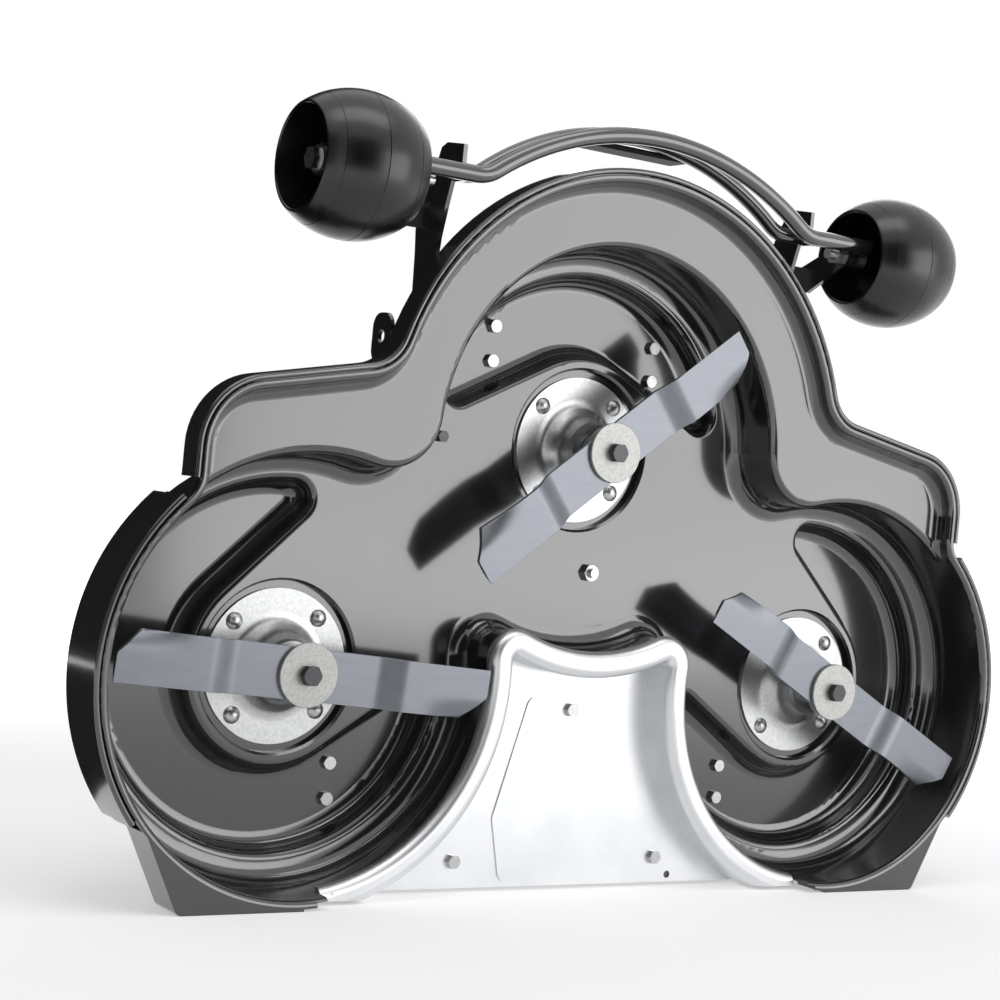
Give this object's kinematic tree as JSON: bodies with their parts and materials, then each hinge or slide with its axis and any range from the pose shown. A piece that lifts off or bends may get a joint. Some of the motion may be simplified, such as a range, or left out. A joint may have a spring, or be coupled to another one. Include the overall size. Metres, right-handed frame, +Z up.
{
  "type": "lawn mower deck",
  "caption": "Stamped steel mower deck on its rear edge: blades on belt-driven spindles in joined chambers, gauge wheels on a bent front tube.",
  "frame": {"origin": "middle of the overall width and depth, on the floor under the rear edge", "axes": "+X across the cut to the right of the picture, +Z up from the rear edge to the nose, -Y out of the open underside"},
  "size_m": [1.11, 0.26, 0.789],
  "materials": {
    "black_paint": "gloss",
    "zinc_bright": "bright zinc plate",
    "zinc_mottled": "mottled zinc plate",
    "blade_steel": "blue-grey satin",
    "dark_steel": "dark oxide",
    "turned_steel": "turned",
    "wheel_plastic": "gloss",
    "cover_plastic": "matte"
  },
  "bodies": {
    "deck": {"arch_strap": "black_paint", "arched_rod": "black_paint", "axle_bolt_left": "zinc_mottled", "axle_bolt_right": "zinc_mottled", "axle_nuts": "dark_steel", "axle_spacers": "turned_steel", "bearings_center": "turned_steel", "bearings_left": "turned_steel", "bearings_right": "turned_steel", "belt_cover_left": "cover_plastic", "belt_cover_right": "cover_plastic", "cover_studs": "dark_steel", "deck_shell": "black_paint", "flange_bolts": "zinc_bright", "flange_nuts": "dark_steel", "front_tube": "black_paint", "hanger_bolts": "zinc_bright", "hanger_front_left": "black_paint", "hanger_front_right": "black_paint", "hanger_nuts": "dark_steel", "hanger_rear_left": "black_paint", "hanger_rear_right": "black_paint", "idler_pivot_bolt": "dark_steel", "idler_spring": "turned_steel", "plate_bolts": "zinc_bright", "rear_plate": "zinc_bright", "skirt_band_front": "black_paint", "skirt_band_left": "black_paint", "skirt_band_right": "black_paint", "spindle_housing_center": "zinc_mottled", "spindle_housing_left": "zinc_mottled", "spindle_housing_right": "zinc_mottled", "spring_post": "dark_steel", "wheel_bracket_left": "black_paint", "wheel_bracket_right": "black_paint"},
    "idler": {"idler_arm": "black_paint", "idler_bolt": "dark_steel"},
    "idler_wheel": {"idler_pulley": "turned_steel"},
    "spindle_left": {"spindle_shaft_left": "turned_steel", "blade_left": "blade_steel", "blade_washer_left": "zinc_mottled", "blade_bolt_left": "dark_steel", "spindle_pulley_left": "turned_steel", "pulley_nut_left": "dark_steel"},
    "spindle_center": {"spindle_shaft_center": "turned_steel", "blade_center": "blade_steel", "blade_washer_center": "zinc_mottled", "blade_bolt_center": "dark_steel", "spindle_pulley_center": "turned_steel", "pulley_nut_center": "dark_steel"},
    "spindle_right": {"spindle_shaft_right": "turned_steel", "blade_right": "blade_steel", "blade_washer_right": "zinc_mottled", "blade_bolt_right": "dark_steel", "spindle_pulley_right": "turned_steel", "pulley_nut_right": "dark_steel"},
    "wheel_left": {"gauge_wheel_left": "wheel_plastic"},
    "wheel_right": {"gauge_wheel_right": "wheel_plastic"}
  },
  "joints": [
    {"name": "spindle_left_spin", "type": "hinge", "parent": "deck", "child": "spindle_left", "pos_m": [-0.331, 0, 0.219], "axis": [0, -1, 0], "continuous": true},
    {"name": "spindle_center_spin", "type": "hinge", "parent": "deck", "child": "spindle_center", "pos_m": [0, 0, 0.4576], "axis": [0, -1, 0], "continuous": true},
    {"name": "spindle_right_spin", "type": "hinge", "parent": "deck", "child": "spindle_right", "pos_m": [0.331, 0, 0.219], "axis": [0, -1, 0], "continuous": true},
    {"name": "wheel_left_spin", "type": "hinge", "parent": "deck", "child": "wheel_left", "pos_m": [-0.34, -0.0593, 0.698], "axis": [1, 0, 0], "continuous": true},
    {"name": "wheel_right_spin", "type": "hinge", "parent": "deck", "child": "wheel_right", "pos_m": [0.34, -0.0593, 0.698], "axis": [1, 0, 0], "continuous": true},
    {"name": "idler_swing", "type": "hinge", "parent": "deck", "child": "idler", "pos_m": [0.026, 0, 0.33], "axis": [0, -1, 0], "range_deg": [0, 12], "stiffness_Nm_per_rad": 9, "deforming": ["idler_spring"]},
    {"name": "idler_wheel_spin", "type": "hinge", "parent": "idler", "child": "idler_wheel", "pos_m": [0.151, 0, 0.33], "axis": [0, -1, 0], "continuous": true}
  ]
}
